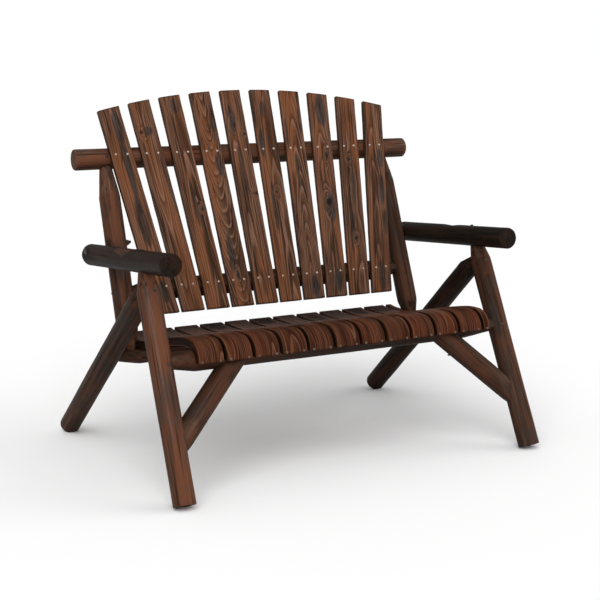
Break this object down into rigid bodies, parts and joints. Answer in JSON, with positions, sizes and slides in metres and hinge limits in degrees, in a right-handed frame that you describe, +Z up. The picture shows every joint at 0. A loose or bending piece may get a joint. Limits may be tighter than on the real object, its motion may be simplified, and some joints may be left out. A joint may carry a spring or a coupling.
{
  "type": "garden bench",
  "caption": "Low outdoor bench of round logs with splayed legs, log armrests, a fanned arched slat back and a contoured slat seat rolled over the front rail.",
  "frame": {"origin": "on the ground, under the middle of the bounding box", "axes": "+X across the bench to the sitter's left, +Y to the rear, +Z up; the front faces -Y"},
  "size_m": [1.1112, 0.8435, 0.9787],
  "materials": {
    "log_wood": "flame-darkened round log, satin lacquer",
    "back_slat_wood": "flame-darkened board, satin lacquer",
    "seat_slat_wood": "flame-darkened bent board, satin lacquer",
    "nail_steel": "dull zinc-coated",
    "bolt_steel": "dull zinc-coated"
  },
  "bodies": {
    "root": {"front_leg_left": "log_wood", "front_leg_right": "log_wood", "rear_leg_left": "log_wood", "rear_leg_right": "log_wood", "armrest_left": "log_wood", "armrest_right": "log_wood", "back_post_left": "log_wood", "back_post_right": "log_wood", "upper_back_rail": "log_wood", "lower_back_rail": "log_wood", "front_seat_rail": "log_wood", "rear_seat_rail": "log_wood", "seat_brace_left": "log_wood", "seat_brace_right": "log_wood", "back_slat_01": "back_slat_wood", "back_slat_02": "back_slat_wood", "back_slat_03": "back_slat_wood", "back_slat_04": "back_slat_wood", "back_slat_05": "back_slat_wood", "back_slat_06": "back_slat_wood", "back_slat_07": "back_slat_wood", "back_slat_08": "back_slat_wood", "back_slat_09": "back_slat_wood", "back_slat_10": "back_slat_wood", "seat_slat_01": "seat_slat_wood", "seat_slat_02": "seat_slat_wood", "seat_slat_03": "seat_slat_wood", "seat_slat_04": "seat_slat_wood", "seat_slat_05": "seat_slat_wood", "seat_slat_06": "seat_slat_wood", "seat_slat_07": "seat_slat_wood", "seat_slat_08": "seat_slat_wood", "seat_slat_09": "seat_slat_wood", "seat_slat_10": "seat_slat_wood", "seat_slat_11": "seat_slat_wood", "seat_slat_filler": "seat_slat_wood", "rear_seat_batten": "seat_slat_wood", "back_nails_upper": "nail_steel", "back_nails_lower": "nail_steel", "seat_nails_front": "nail_steel", "seat_nails_rear": "nail_steel", "armrest_screws": "bolt_steel", "front_rail_screws": "bolt_steel", "rear_rail_screws": "bolt_steel", "leg_joint_screws": "bolt_steel", "brace_screws": "bolt_steel", "upper_rail_screws": "bolt_steel", "lower_rail_screws": "bolt_steel", "post_foot_screws": "bolt_steel", "armrest_bolts": "bolt_steel", "armrest_washers": "bolt_steel", "armrest_nuts": "bolt_steel"}
  },
  "joints": []
}
